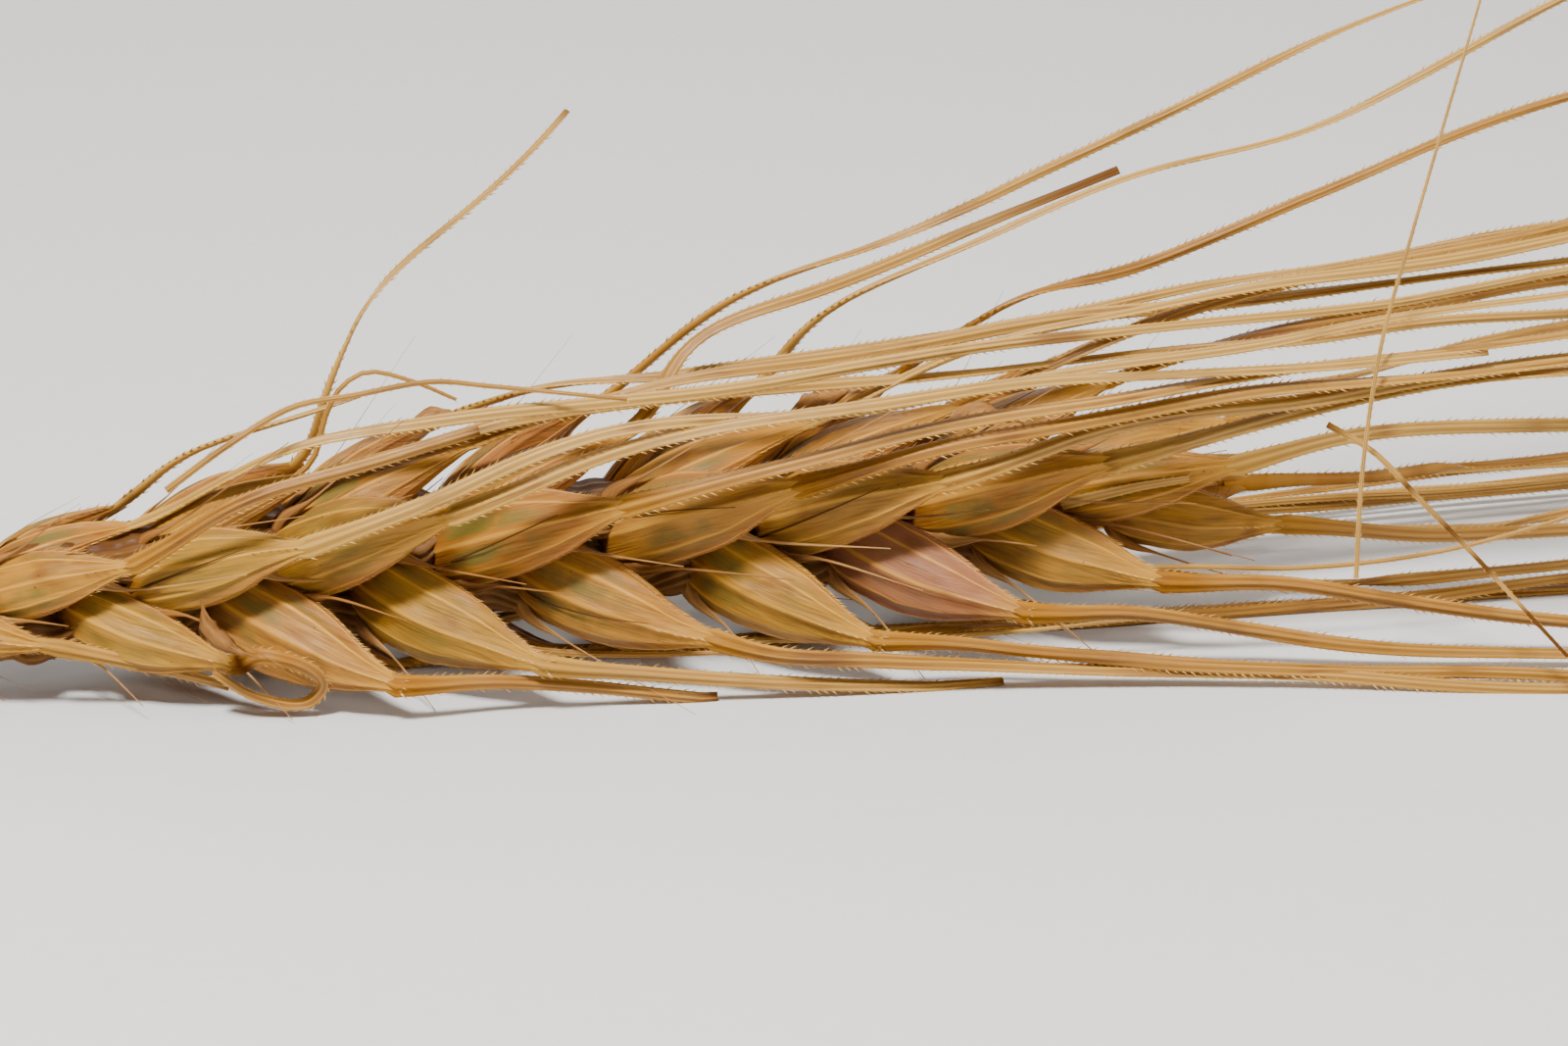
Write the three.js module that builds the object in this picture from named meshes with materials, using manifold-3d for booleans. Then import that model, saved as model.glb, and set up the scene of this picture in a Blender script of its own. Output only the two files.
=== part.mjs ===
// Dry ear of six-row barley with a short piece of its straw, lying on its side.
// X runs from the cut straw to the awn tips, from the lowest joint of the rachis at about 0. Z is up, and
// Z = 0 is the surface that the ear lies on. The finished part is moved so that its origin is its rest spot.
import * as THREE from "three";
import { mergeVertices } from "three/addons/utils/BufferGeometryUtils.js";
import Module from "manifold-3d";

const wasm = await Module();
wasm.setup();

// Rachis: the height of its middle line at X = 0, and its climb towards the tip
const rachisHeight = 4.9;
const rachisClimb = 0.038;
const rachisHalfWidth = 1.1;
const rachisHalfThickness = 0.45;
const rachisZigzag = 0.35;
const collarSwell = 0.25;
const rachisTaper = 0.35;
const rachisSides = 8;
const rachisSteps = 3;

// Straw below the ear
const strawStart = -17;
const strawRadius = 1.15;
const strawDrop = 0.8;

// Joints of the rachis along X. The first carries spikelets on the lower side, and the sides alternate.
const joints = [-4.4, -1, 3.2, 6.4, 10.4, 13.5, 17.7, 21.5, 25.7, 30.2, 34.5, 38, 41.7, 46, 49, 53, 56];
const lowerSide = ["lowNear", "low", "lowFar"];
const upperSide = ["highNear", "high", "highFar"];
const smallestAtBase = 0.62;
const smallestAtTip = 0.8;
const jointsToFullSize = 4;
const jointsOfTip = 3;
const leastLeanAtTip = 0.45;

// Rows round the rachis: angle above the level line on the near side, how far the hull is rolled from there,
// lean away from the rachis, the spread of the awn ends away from the line of the ear, the awn length,
// and the share of awns broken off
const rows = {
  lowNear: { around: -22, roll: 28, lean: 41, spread: 5, awn: 92, broken: 1 },
  low: { around: -87, roll: 0, lean: 28, spread: -1, awn: 84, broken: 0.5 },
  lowFar: { around: -154, roll: 0, lean: 38, spread: 7, awn: 88, broken: 0.4 },
  highNear: { around: 31, roll: -6, lean: 40, spread: 4, awn: 92, broken: 0 },
  high: { around: 84, roll: 0, lean: 25, spread: 3, awn: 90, broken: 0.3 },
  highFar: { around: 142, roll: 0, lean: 38, spread: 6, awn: 88, broken: 0 },
};
const brokenAwn = 16;

// Hull of one spikelet, closed round its grain
const hullLength = 12.2;
const hullHalfWidth = 2.15;
const hullHalfThickness = 1.5;
const hullSides = 6;
const hullRings = [0, 0.13, 0.32, 0.52, 0.76, 1];
const hullWidths = [0.4, 0.82, 1, 0.9, 0.46, 0.19];
const hullBend = 7;
const hullSeat = 0.7;

// Awn: a flat bristle that goes on from the tip of the hull
const awnHalfWidth = 0.4;
const awnHalfThickness = 0.3;
const awnTipShare = 0.6;
const awnSides = 3;
const awnStepsPerPoint = 2;
const shortestAwnStep = 4;
const awnRoot = 0.84;
const awnReach = 11;
const awnLeanShare = 0.42;
const lowestAwn = 0.08;

// How far each spikelet strays from its row, in degrees but for the share of the awn's length,
// and where each of these draws starts in the run of random numbers
const strays = { around: 3, lean: 3, roll: 9, awnLength: 0.12, awnAround: 14, awnSpread: 2.5 };
const draws = { around: 0, lean: 100, roll: 200, awnLength: 300, awnAround: 400, awnSpread: 500, whole: 600 };

// Callus: the slim core that the spikelets of one side grow out of, against the face of the rachis
const callusOffset = 1.5;
const callusHalfWidth = 1.7;
const callusHalfThickness = 0.7;
const callusSides = 6;

// Gap between the spikelets and the rachis that they sit on, and between the two sides where they are close
const gap = 0.3;
const sideGap = 0.06;

// Box below the ear that cuts its underside flat at Z = 0
const surfaceSize = 400;

// Flat spot that the ear rests on, under a lower hull, which is the origin of the part
const restSpot = 19.9;

// Awns that don't follow the rule of their row: points on the way from the hull, with the end last.
// The first is kinked where it withered and loops back to its hull, and the short ones are broken off.
const awnRoutes = {
  lowNear0: [[8.9, -4.2, 1.9], [11, -4.6, 1.2]],
  lowNear2: [[12.4, -7, 3.7], [14.6, -7.3, 3.1], [15.5, -6.7, 1.9], [14.6, -6.2, 0.7], [12, -6.1, 1.3],
    [10.2, -6, 2.6]],
  lowNear4: [[23.5, -7.6, 1.9], [35, -7.6, 0.08]],
  lowNear6: [[30.5, -8, 2], [38.5, -8, 0.8], [49.5, -8, 0.08]],
  lowNear8: [[38, -8.5, 2.4], [53, -9, 1], [77, -14, 0.3], [124, -24, 0.08]],
  lowNear10: [[46, -8, 2.6], [53, -9, 1.7], [77.5, -13, 0.5], [128, -22, 0.08]],
  lowNear12: [[55.5, -7.9, 3.4], [61, -8, 2.3], [78, -11, 0.9], [134, -20, 0.08]],
  lowNear14: [[63.5, -7.4, 4.3], [78.5, -9, 1.9], [138, -16, 0.5]],
  lowNear16: [[70, -3.5, 5.4], [80, -4, 4.7], [141, -8, 2.5]],
  highNear1: [[12.5, -7, 12], [19, -7, 13.6], [23.5, -7, 14.6]],
  highNear3: [[28.5, -8.5, 14.4], [43, -8.5, 15.5], [78, -8, 19], [103, -8.5, 22]],
  highNear5: [[33, -8.7, 14.5], [48, -9, 15.9], [73.5, -9.4, 16.8]],
  highNear7: [[45, -8.5, 13.9], [78, -9, 17.5], [118, -11, 22]],
  highNear9: [[48, -8.5, 13.4], [60, -9, 14.9], [77.5, -10, 16.3], [127, -14, 20]],
  highNear11: [[58, -8.5, 13.9], [78, -9, 15.6], [134, -12, 20]],
  highNear13: [[68, -8, 14.2], [78, -8.6, 15], [140, -12, 17]],
  highNear15: [[69, -5, 11.4], [79, -6, 11.2], [136, -9, 10]],
  high1: [[15, -2, 12.5], [22, -3, 13.7], [31, -3, 14.5], [59, -3, 16.7], [80, -3, 18.4], [98, -3, 20]],
  high7: [[35, 2, 15.6], [41.5, 2, 18], [50.5, 3, 21], [57.5, 3, 23.5]],
  high9: [[49.5, -2, 16], [59.5, -2, 17.6], [80, -2, 20.2], [126, -4, 27]],
  high11: [[59.5, -1.5, 16.8], [80, -1.5, 20.6], [131, -2, 29]],
  highFar1: [[9, 3, 10.6], [14, 3, 12.3], [18.5, 3, 13.6]],
  highFar3: [[17, 3, 14], [19.7, 4.5, 18], [25, 8, 21.6], [30.5, 12, 25.4]],
  highFar5: [[28, 4, 13], [35, 3, 13.5], [60, 1, 17.2], [81, 1, 20], [110, 1, 24]],
  highFar7: [[38, 5, 17], [46, 6, 19.2], [55, 6, 23], [63, 7, 26], [75, 8, 30.3], [98, 10, 36]],
  highFar9: [[42, 5, 15.6], [51, 5, 19.6], [58.5, 5, 22.4], [69, 6, 24.4], [80, 6, 30], [106, 8, 38]],
  highFar11: [[52.5, 5, 15.8], [59, 6, 17.2], [69.5, 6, 21], [82.5, 6, 25.2], [120, 8, 33]],
};

// Even pseudo-random numbers from 0 to 1, one for each count
function chance(count) {
  const wave = Math.sin(count * 12.9898 + 4.1414) * 43758.5453;
  return wave - Math.floor(wave);
}

const radians = THREE.MathUtils.degToRad;
const weldDistance = 1e-4;

// Stray of one kind for the spikelet of a count, as much one way as the other
const stray = (kind, count) => (chance(count + draws[kind]) * 2 - 1) * strays[kind];
const axisAt = (x) => new THREE.Vector3(x, 0, rachisHeight + rachisClimb * x);

// Closed body swept along a curve. Its section has the half width and half thickness that sizeAt gives,
// and its outer side faces as near to the given direction as the curve lets it.
function sweep(curve, sides, stations, facing, sizeAt) {
  const steps = stations.length - 1;
  const body = new THREE.CylinderGeometry(1, 1, steps, sides, steps);
  const points = body.getAttribute("position");
  const vertex = new THREE.Vector3();
  for (let i = 0; i < points.count; i++) {
    vertex.fromBufferAttribute(points, i);
    const share = stations[Math.round(vertex.y + steps / 2)];
    const middle = curve.getPoint(share);
    const along = curve.getTangent(share);
    const outward = facing.clone().addScaledVector(along, -facing.dot(along)).normalize();
    const across = along.clone().cross(outward);
    const [halfWidth, halfThickness] = sizeAt(share);
    middle.addScaledVector(across, vertex.x * halfWidth);
    middle.addScaledVector(outward, vertex.z * halfThickness);
    points.setXYZ(i, middle.x, middle.y, middle.z);
  }
  return solidOf(body);
}

// Closed geometry as a solid that can be joined and cut
function solidOf(geometry) {
  geometry.deleteAttribute("normal");
  geometry.deleteAttribute("uv");
  const merged = mergeVertices(geometry, weldDistance);
  return new wasm.Manifold(
    new wasm.Mesh({
      numProp: 3,
      vertProperties: new Float32Array(merged.getAttribute("position").array),
      triVerts: new Uint32Array(merged.index.array),
    }),
  );
}

// Named mesh of a solid in its own colour
function meshOf(name, solid, look) {
  const { vertProperties, triVerts } = solid.getMesh();
  const geometry = new THREE.BufferGeometry();
  geometry.setAttribute("position", new THREE.BufferAttribute(vertProperties, 3));
  geometry.setIndex(new THREE.BufferAttribute(triVerts, 1));
  geometry.computeVertexNormals();
  const mesh = new THREE.Mesh(geometry, new THREE.MeshStandardMaterial(look));
  mesh.name = name;
  return mesh;
}

const evenStations = (steps) => Array.from({ length: steps + 1 }, (_, i) => i / steps);

// Value of a list of heights at a share of the way through a list of stations
function between(stations, values, share) {
  const next = Math.max(1, stations.findIndex((station) => station >= share));
  const part = (share - stations[next - 1]) / (stations[next] - stations[next - 1]);
  return THREE.MathUtils.lerp(values[next - 1], values[next], part);
}

// Rachis and straw in one sweep, made larger all round by grow for the seat of the spikelets
function rachis(grow) {
  const upright = new THREE.Vector3(0, 0, 1);
  const bends = joints.map((x, i) => axisAt(x).addScaledVector(upright, (i % 2 ? 1 : -1) * rachisZigzag));
  const cut = axisAt(strawStart).addScaledVector(upright, -strawDrop);
  const route = [cut, axisAt((strawStart + joints[0]) / 2), ...bends];
  const curve = new THREE.CatmullRomCurve3(route, false, "centripetal");
  const spans = route.length - 1;
  const sizeAt = (share) => {
    const place = share * spans;
    const intoEar = THREE.MathUtils.clamp(place - 1, 0, 1);
    const collar = 1 + collarSwell * Math.cos(Math.PI * 2 * place) * intoEar;
    const taper = 1 - rachisTaper * share;
    return [
      THREE.MathUtils.lerp(strawRadius, rachisHalfWidth * collar * taper, intoEar) + grow,
      THREE.MathUtils.lerp(strawRadius, rachisHalfThickness * collar, intoEar) + grow,
    ];
  };
  return sweep(curve, rachisSides, evenStations(spans * rachisSteps), upright, sizeAt);
}

// How large the spikelets at a joint are, of full size 1
function sizeAtJoint(joint) {
  const fromBase = Math.min(1, joint / jointsToFullSize);
  const fromTip = Math.min(1, (joints.length - 1 - joint) / jointsOfTip);
  return Math.min(
    THREE.MathUtils.lerp(smallestAtBase, 1, fromBase),
    THREE.MathUtils.lerp(smallestAtTip, 1, fromTip),
  );
}

// The spikelets at both ends of the ear lean out less
function leanShare(joint, size) {
  const fromTip = Math.min(1, (joints.length - 1 - joint) / jointsOfTip);
  return Math.min(THREE.MathUtils.lerp(leastLeanAtTip, 1, fromTip), size);
}

// Direction at an angle round the rachis, and one that leans from the line of the rachis towards it
const roundRachis = (angle) => new THREE.Vector3(0, -Math.cos(angle), Math.sin(angle));
function leaning(angle, lean) {
  const along = new THREE.Vector3(1, 0, rachisClimb).normalize();
  return along.multiplyScalar(Math.cos(lean)).addScaledVector(roundRachis(angle), Math.sin(lean));
}

// Middle line of a hull: it bends back towards the line of the rachis
function hullLine(spikelet) {
  const { angle, lean, length } = spikelet;
  const seat = axisAt(spikelet.x).addScaledVector(roundRachis(angle), hullSeat);
  const bend = radians(hullBend);
  const middle = seat.clone().addScaledVector(leaning(angle, lean + bend), length / 2);
  const tip = middle.clone().addScaledVector(leaning(angle, lean - bend), length / 2);
  return new THREE.QuadraticBezierCurve3(seat, middle, tip);
}

// Awn of a spikelet: out of its hull, then along its own route or that of its row
function awnLine(spikelet, hull) {
  const root = hull.getPoint(awnRoot);
  const tip = hull.getPoint(1);
  const own = awnRoutes[spikelet.name];
  const points = [root, tip];
  if (own) {
    points.push(...own.map((point) => new THREE.Vector3(...point)));
  } else {
    const { spread, awn, broken } = rows[spikelet.row];
    const { count, size, angle, lean } = spikelet;
    const whole = chance(count + draws.whole) > broken;
    const length = (whole ? awn * size : brokenAwn) * (1 + stray("awnLength", count));
    const around = angle + radians(stray("awnAround", count));
    const heading = leaning(around, radians(spread + stray("awnSpread", count)));
    const leaving = tip.clone().addScaledVector(leaning(angle, lean * awnLeanShare), awnReach);
    points.push(leaving, leaving.clone().addScaledVector(heading, length / 2));
    points.push(leaving.clone().addScaledVector(heading, length));
  }
  for (const point of points.slice(2)) point.z = Math.max(point.z, lowestAwn);
  return new THREE.CatmullRomCurve3(points, false, "centripetal");
}

// Every spikelet of the ear, in its place
function allSpikelets() {
  const spikelets = [];
  joints.forEach((x, joint) => {
    for (const row of joint % 2 ? upperSide : lowerSide) {
      const count = spikelets.length + 1;
      const size = sizeAtJoint(joint);
      spikelets.push({
        x,
        row,
        count,
        size,
        name: row + joint,
        length: hullLength * size,
        angle: radians(rows[row].around + stray("around", count)),
        lean: radians(rows[row].lean + stray("lean", count)) * leanShare(joint, size),
        roll: radians(rows[row].roll + stray("roll", count)),
      });
    }
  });
  return spikelets;
}

// Solids of one spikelet: its hull and its awn
function spikeletSolids(spikelet) {
  const { size, angle, roll } = spikelet;
  const line = hullLine(spikelet);
  const facing = roundRachis(angle + roll);
  const corner = 1 / Math.cos(Math.PI / hullSides);
  const hull = sweep(line, hullSides, hullRings, facing, (share) => {
    const wide = between(hullRings, hullWidths, share) * size;
    return [wide * hullHalfWidth * corner, Math.max(wide * hullHalfThickness, awnHalfThickness)];
  });
  const route = awnLine(spikelet, line);
  const mostSteps = Math.ceil(route.getLength() / shortestAwnStep);
  const awnSteps = Math.min(awnStepsPerPoint * (route.points.length - 1), mostSteps);
  const awn = sweep(route, awnSides, evenStations(awnSteps), facing, (share) => {
    const thin = THREE.MathUtils.lerp(1, awnTipShare, share);
    return [awnHalfWidth * thin, awnHalfThickness * thin];
  });
  return [hull, awn];
}

// Core that joins the spikelets of one side, on the face of the rachis that looks up or down
function callus(first, up) {
  const facing = new THREE.Vector3(0, 0, up);
  const seats = joints.filter((_, joint) => joint % 2 === first);
  const curve = new THREE.CatmullRomCurve3(seats.map((x) => axisAt(x).addScaledVector(facing, callusOffset)));
  const sizeAt = () => [callusHalfWidth, callusHalfThickness];
  return sweep(curve, callusSides, evenStations(seats.length - 1), facing, sizeAt);
}

// Spikelets of one side of the rachis in one solid, cut clear of what is taken up already
function side(sideRows, core, taken) {
  const solids = spikelets.filter(({ row }) => sideRows.includes(row)).flatMap(spikeletSolids);
  const bodies = wasm.Manifold.union([core, ...solids]).subtract(wasm.Manifold.union(taken)).decompose();
  return bodies.reduce((most, body) => (body.volume() > most.volume() ? body : most));
}

const seat = rachis(gap);
const block = new THREE.BoxGeometry(surfaceSize, surfaceSize, surfaceSize);
const surface = solidOf(block.translate(0, 0, -surfaceSize / 2));
const spikelets = allSpikelets();
const lower = side(lowerSide, callus(0, -1), [seat, surface]);
const upper = side(upperSide, callus(1, 1), [seat, surface, lower, lower.translate([0, 0, sideGap])]);

const ear = new THREE.Group();
ear.add(
  meshOf("rachis_and_stem", rachis(0), { color: 0xcbb27a, roughness: 0.7 }),
  meshOf("lower_spikelets", lower, { color: 0xbd9450, roughness: 0.55 }),
  meshOf("upper_spikelets", upper, { color: 0xc29a52, roughness: 0.55 }),
);

ear.position.x = -restSpot;

export default ear;
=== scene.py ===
import math

import bpy
import numpy as np
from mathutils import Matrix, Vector, noise


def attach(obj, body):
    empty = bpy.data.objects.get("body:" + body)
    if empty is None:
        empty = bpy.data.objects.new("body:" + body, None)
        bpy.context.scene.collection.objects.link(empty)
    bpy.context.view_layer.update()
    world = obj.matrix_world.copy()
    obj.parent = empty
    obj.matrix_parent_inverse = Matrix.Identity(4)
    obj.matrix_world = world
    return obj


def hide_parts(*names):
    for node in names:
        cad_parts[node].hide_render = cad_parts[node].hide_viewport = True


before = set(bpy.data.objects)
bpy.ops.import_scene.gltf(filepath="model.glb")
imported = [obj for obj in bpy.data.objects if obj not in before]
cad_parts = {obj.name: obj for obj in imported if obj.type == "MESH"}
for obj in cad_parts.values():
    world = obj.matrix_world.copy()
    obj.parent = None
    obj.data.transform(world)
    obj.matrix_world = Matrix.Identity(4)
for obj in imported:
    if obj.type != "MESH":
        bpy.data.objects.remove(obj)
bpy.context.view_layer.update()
mm = 0.001  # the ear is laid out in millimetres and made in metres

# Layout of the ear, the same as in the CAD: joints along the rachis, rows round it, and awn routes
earLayout = {
    "restSpot": 19.9,
    "rachisHeight": 4.9,
    "rachisClimb": 0.038,
    "joints": [-4.4, -1, 3.2, 6.4, 10.4, 13.5, 17.7, 21.5, 25.7, 30.2, 34.5, 38, 41.7, 46, 49, 53, 56],
    "sides": {"lower": ["lowNear", "low", "lowFar"], "upper": ["highNear", "high", "highFar"]},
    "smallestAtBase": 0.62,
    "smallestAtTip": 0.8,
    "jointsToFullSize": 4,
    "jointsOfTip": 3,
    "leastLeanAtTip": 0.45,
}
rowSettings = ("around", "roll", "lean", "spread", "awn", "broken")  # degrees, length in mm, share cut short
rows = {name: dict(zip(rowSettings, values)) for name, values in {
    "lowNear": (-22, 28, 41, 5, 92, 1), "low": (-87, 0, 28, -1, 84, 0.5), "lowFar": (-154, 0, 38, 7, 88, 0.4),
    "highNear": (31, -6, 40, 4, 92, 0), "high": (84, 0, 25, 3, 90, 0.3), "highFar": (142, 0, 38, 6, 88, 0),
}.items()}
awnRoutes = {
    "lowNear0": [[8.9, -4.2, 1.9], [11, -4.6, 1.2]],
    "lowNear2": [[12.4, -7, 3.7], [14.6, -7.3, 3.1], [15.5, -6.7, 1.9], [14.6, -6.2, 0.7], [12, -6.1, 1.3],
                 [10.2, -6, 2.6]],
    "lowNear4": [[23.5, -7.6, 1.9], [35, -7.6, 0.08]],
    "lowNear6": [[30.5, -8, 2], [38.5, -8, 0.8], [49.5, -8, 0.08]],
    "lowNear8": [[38, -8.5, 2.4], [53, -9, 1], [77, -14, 0.3], [124, -24, 0.08]],
    "lowNear10": [[46, -8, 2.6], [53, -9, 1.7], [77.5, -13, 0.5], [128, -22, 0.08]],
    "lowNear12": [[55.5, -7.9, 3.4], [61, -8, 2.3], [78, -11, 0.9], [134, -20, 0.08]],
    "lowNear14": [[63.5, -7.4, 4.3], [78.5, -9, 1.9], [138, -16, 0.5]],
    "lowNear16": [[70, -3.5, 5.4], [80, -4, 4.7], [141, -8, 2.5]],
    "highNear1": [[12.5, -7, 12], [19, -7, 13.6], [23.5, -7, 14.6]],
    "highNear3": [[28.5, -8.5, 14.4], [43, -8.5, 15.5], [78, -8, 19], [103, -8.5, 22]],
    "highNear5": [[33, -8.7, 14.5], [48, -9, 15.9], [73.5, -9.4, 16.8]],
    "highNear7": [[45, -8.5, 13.9], [78, -9, 17.5], [118, -11, 22]],
    "highNear9": [[48, -8.5, 13.4], [60, -9, 14.9], [77.5, -10, 16.3], [127, -14, 20]],
    "highNear11": [[58, -8.5, 13.9], [78, -9, 15.6], [134, -12, 20]],
    "highNear13": [[68, -8, 14.2], [78, -8.6, 15], [140, -12, 17]],
    "highNear15": [[69, -5, 11.4], [79, -6, 11.2], [136, -9, 10]],
    "high1": [[15, -2, 12.5], [22, -3, 13.7], [31, -3, 14.5], [59, -3, 16.7], [80, -3, 18.4], [98, -3, 20]],
    "high7": [[35, 2, 15.6], [41.5, 2, 18], [50.5, 3, 21], [57.5, 3, 23.5]],
    "high9": [[49.5, -2, 16], [59.5, -2, 17.6], [80, -2, 20.2], [126, -4, 27]],
    "high11": [[59.5, -1.5, 16.8], [80, -1.5, 20.6], [131, -2, 29]],
    "highFar1": [[9, 3, 10.6], [14, 3, 12.3], [18.5, 3, 13.6]],
    "highFar3": [[17, 3, 14], [19.7, 4.5, 18], [25, 8, 21.6], [30.5, 12, 25.4]],
    "highFar5": [[28, 4, 13], [35, 3, 13.5], [60, 1, 17.2], [81, 1, 20], [110, 1, 24]],
    "highFar7": [[38, 5, 17], [46, 6, 19.2], [55, 6, 23], [63, 7, 26], [75, 8, 30.3], [98, 10, 36]],
    "highFar9": [[42, 5, 15.6], [51, 5, 19.6], [58.5, 5, 22.4], [69, 6, 24.4], [80, 6, 30], [106, 8, 38]],
    "highFar11": [[52.5, 5, 15.8], [59, 6, 17.2], [69.5, 6, 21], [82.5, 6, 25.2], [120, 8, 33]],
}
# Spikelets unlike the others, by what is special about them
odd = {"looped": "lowNear2", "darkEnded": "high7", "leaningBack": "highFar3", "pink": "lowNear12"}


# Small helpers

def chance(count):
    wave = math.sin(count * 12.9898 + 4.1414) * 43758.5453
    return wave - math.floor(wave)


def swing(count, limit):
    return (chance(count) * 2 - 1) * limit


def mix(a, b, share):
    return a + (b - a) * share


def clamp(value, low, high):
    return max(low, min(high, value))


def unit(vector):
    return vector / np.linalg.norm(vector)


def smooth(low, high, value):  # 0 up to low, 1 from high on, eased between them
    share = np.clip((value - low) / (high - low), 0, 1)
    return share * share * (3 - 2 * share)


def wobble(x, y, z):
    return noise.noise(Vector((x, y, z)))


def wobbleAlong(values, y, z):
    return np.array([wobble(value, y, z) for value in values])


def profileAt(profile, share):  # smooth curve through a profile's stations and values
    stations, values = profile
    slopes = np.gradient(values, stations)
    i = int(clamp(np.searchsorted(stations, share), 1, len(stations) - 1))
    span = stations[i] - stations[i - 1]
    t = (share - stations[i - 1]) / span
    return ((2 * t**3 - 3 * t**2 + 1) * values[i - 1] + (t**3 - 2 * t**2 + t) * span * slopes[i - 1]
            + (3 * t**2 - 2 * t**3) * values[i] + (t**3 - t**2) * span * slopes[i])


def axisAt(x):
    return np.array([x, 0, earLayout["rachisHeight"] + earLayout["rachisClimb"] * x])


def roundRachis(angle):  # outward from the rachis, from 0 at the near side up over the top
    return np.array([0, -math.cos(angle), math.sin(angle)])


def leaning(angle, lean):  # along the ear, turned outward by the lean
    along = unit(np.array([1, 0, earLayout["rachisClimb"]]))
    return along * math.cos(lean) + roundRachis(angle) * math.sin(lean)


def routePoint(points, share):  # centripetal spline through the points, as in the CAD
    last = len(points) - 1
    place = share * last
    i = min(int(place), last - 1)
    t = place - i
    p1, p2 = points[i], points[i + 1]
    p0 = points[i - 1] if i > 0 else 2 * p1 - p2
    p3 = points[i + 2] if i + 2 <= last else 2 * p2 - p1
    gaps = [max(math.sqrt(np.linalg.norm(b - a)), 1e-3) for a, b in ((p0, p1), (p1, p2), (p2, p3))]
    leave = (p1 - p0) / gaps[0] - (p2 - p0) / (gaps[0] + gaps[1]) + (p2 - p1) / gaps[1]
    enter = (p2 - p1) / gaps[1] - (p3 - p1) / (gaps[1] + gaps[2]) + (p3 - p2) / gaps[2]
    leave, enter = leave * gaps[1], enter * gaps[1]
    return (p1 + leave * t + (-3 * p1 + 3 * p2 - 2 * leave - enter) * t * t
            + (2 * p1 - 2 * p2 + leave + enter) * t**3)


def evenSteps(points, step):  # points at even steps along the spline
    fine = np.array([routePoint(points, s) for s in np.linspace(0, 1, 40 * (len(points) - 1) + 1)])
    reach = np.concatenate([[0], np.cumsum(np.linalg.norm(np.diff(fine, axis=0), axis=1))])
    count = max(4, int(reach[-1] / step))
    wanted = np.linspace(0, reach[-1], count + 1)
    return np.stack([np.interp(wanted, reach, fine[:, k]) for k in range(3)], axis=1), wanted


def eased(points, passes):  # rounds the corners of a line whose ends stay
    points = points.copy()
    for _ in range(passes):
        points[1:-1] = (points[:-2] + 2 * points[1:-1] + points[2:]) / 4
    return points


def framesAlong(points, facing, twist=None):  # across and outward directions at each point of a line
    tangents = np.gradient(points, axis=0)
    tangents /= np.linalg.norm(tangents, axis=1)[:, None]
    outward = facing - tangents * np.sum(tangents * facing, axis=1)[:, None]
    outward /= np.linalg.norm(outward, axis=1)[:, None]
    across = np.cross(tangents, outward)
    if twist is not None:
        turn = np.asarray(twist)[:, None]
        across, outward = (across * np.cos(turn) + outward * np.sin(turn),
                           outward * np.cos(turn) - across * np.sin(turn))
    return tangents, across, outward


def toMetres(points):
    return (np.asarray(points) - np.array([earLayout["restSpot"], 0, 0])) * mm


# Spikelets in their places

hullSize = {
    "length": 12.2, "halfWidth": 2.2, "halfThickness": 1.52, "bend": 7, "seat": 0.7, "roll": 9, "leanSwing": 3,
}


def growthAt(joint):  # size of the spikelets of a joint and how much they lean, 1 along most of the ear
    fromBase = min(1, joint / earLayout["jointsToFullSize"])
    fromTip = min(1, (len(earLayout["joints"]) - 1 - joint) / earLayout["jointsOfTip"])
    size = min(mix(earLayout["smallestAtBase"], 1, fromBase), mix(earLayout["smallestAtTip"], 1, fromTip))
    return size, min(mix(earLayout["leastLeanAtTip"], 1, fromTip), size)


def hullLine(seatX, length, angle, lean):  # three control points of the hull's middle line
    bend = math.radians(hullSize["bend"])
    seat = axisAt(seatX) + roundRachis(angle) * hullSize["seat"]
    middle = seat + leaning(angle, lean + bend) * length / 2
    return seat, middle, middle + leaning(angle, lean - bend) * length / 2


def allSpikelets():
    spikelets = []
    for joint, x in enumerate(earLayout["joints"]):
        side = "upper" if joint % 2 else "lower"
        size, leanShare = growthAt(joint)
        for row in earLayout["sides"][side]:
            count = len(spikelets) + 1
            length = hullSize["length"] * size
            angle = math.radians(rows[row]["around"] + swing(count, 3))
            lean = math.radians(rows[row]["lean"] + swing(count + 100, hullSize["leanSwing"])) * leanShare
            roll = math.radians(rows[row]["roll"] + swing(count + 200, hullSize["roll"]))
            spikelets.append({
                "name": row + str(joint), "row": row, "side": side, "joint": joint, "count": count, "size": size,
                "length": length, "angle": angle, "lean": lean, "facing": roundRachis(angle + roll),
                "line": hullLine(x, length, angle, lean),
            })
    return spikelets


def bendPoint(line, share):
    a, b, c = line
    return a * (1 - share) ** 2 + 2 * b * share * (1 - share) + c * share**2


def bendFrame(line, share, facing):
    a, b, c = line
    along = unit((b - a) * (1 - share) + (c - b) * share)
    outward = unit(facing - along * (along @ facing))
    return along, np.cross(along, outward), outward


spikelets = allSpikelets()
print("stage: layout of", len(spikelets), "spikelets")


def ofSide(side):
    return [spikelet for spikelet in spikelets if spikelet["side"] == side]


# Hulls: a boat-shaped outer husk with five nerves, its margins folded over a grooved inner husk

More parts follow.
